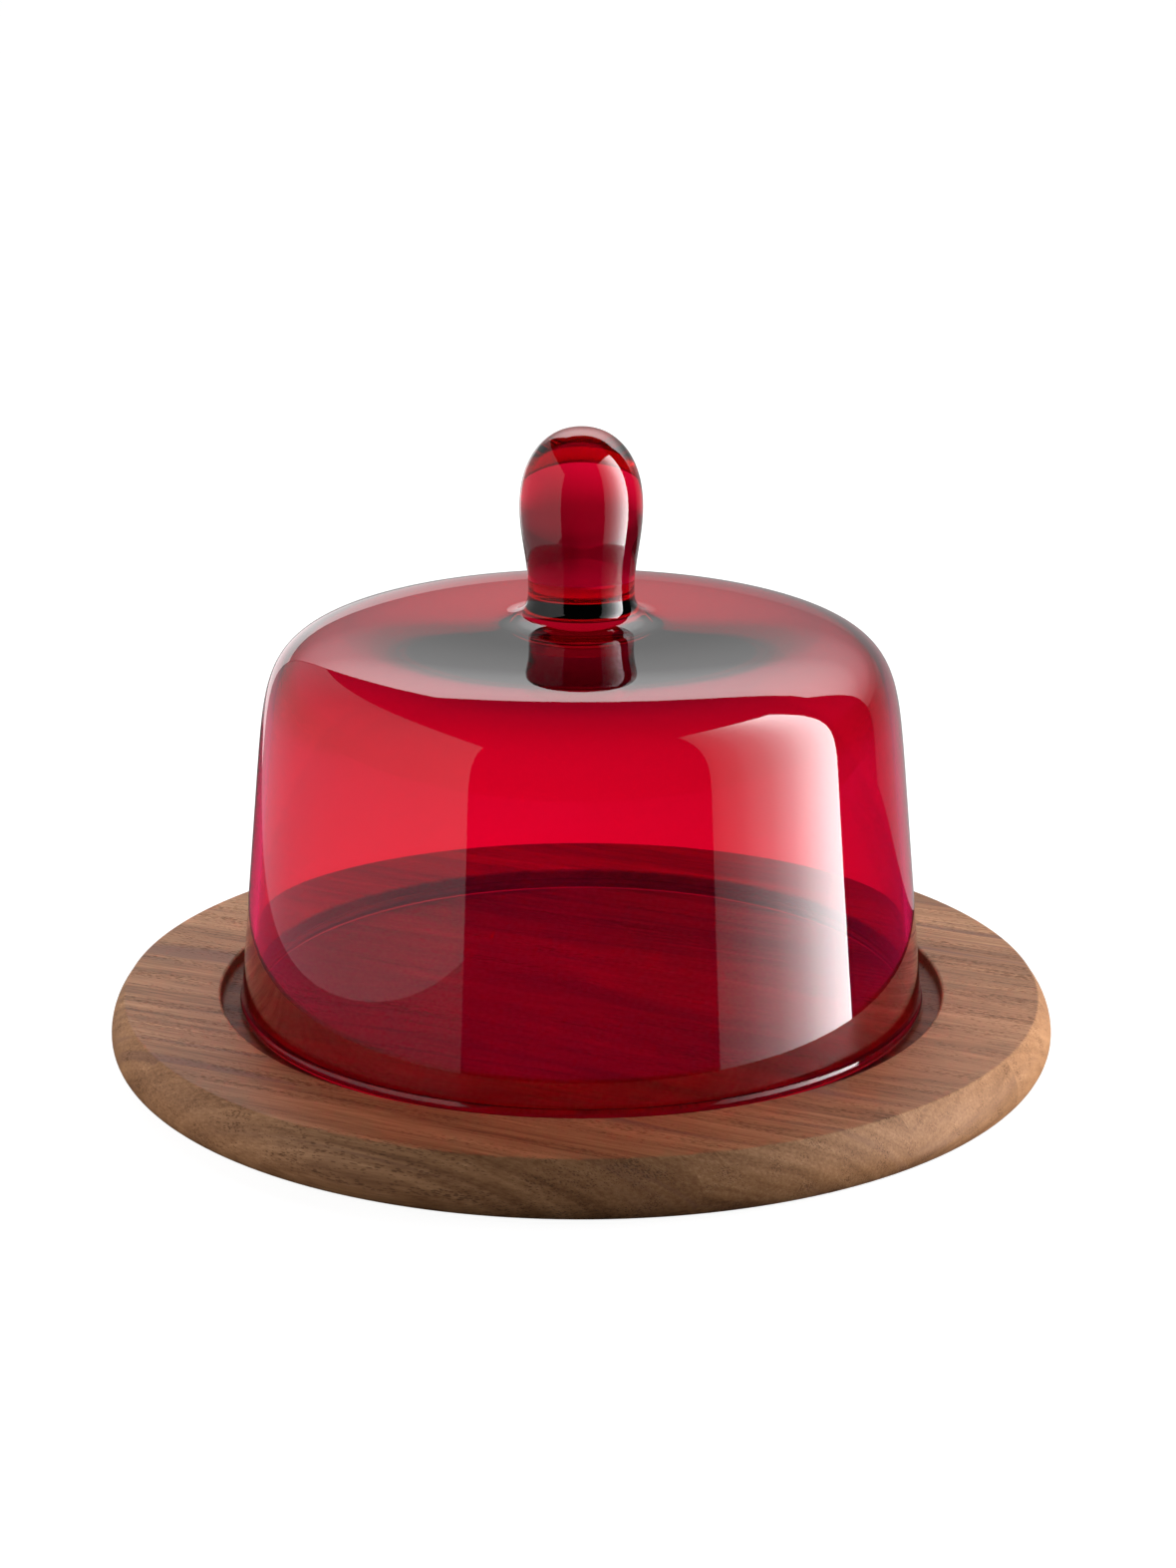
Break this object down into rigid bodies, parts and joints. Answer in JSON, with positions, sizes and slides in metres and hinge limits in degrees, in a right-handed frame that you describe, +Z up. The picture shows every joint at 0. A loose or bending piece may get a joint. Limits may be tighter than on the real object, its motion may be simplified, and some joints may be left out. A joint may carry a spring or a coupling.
{
  "type": "cheese dome",
  "caption": "Glass bell with a blown knob standing in the round pocket of a wooden serving board, to cover and carry cheese.",
  "frame": {"origin": "centre of the board's underside, on the axis of the bell", "axes": "+Z up along the axis of the bell and knob, +X along the grain of the board's staves"},
  "size_m": [0.28, 0.28, 0.1859],
  "materials": {
    "stave_1_wood": "oiled, dark olive brown",
    "stave_2_wood": "oiled, light tan brown",
    "stave_3_wood": "oiled, reddish brown",
    "stave_4_wood": "oiled, orange brown",
    "stave_5_wood": "oiled, brown",
    "stave_6_wood": "oiled, brown",
    "bell_glass": "clear red, fire polished",
    "knob_glass": "clear red, fire polished"
  },
  "bodies": {
    "board": {"board_stave_1": "stave_1_wood", "board_stave_2": "stave_2_wood", "board_stave_3": "stave_3_wood", "board_stave_4": "stave_4_wood", "board_stave_5": "stave_5_wood", "board_stave_6": "stave_6_wood"},
    "dome": {"glass_bell": "bell_glass", "glass_knob": "knob_glass"}
  },
  "joints": [
    {"name": "dome_lift", "type": "slide", "parent": "board", "child": "dome", "axis": [0, 0, 1], "range_m": [0, 0.2]}
  ]
}
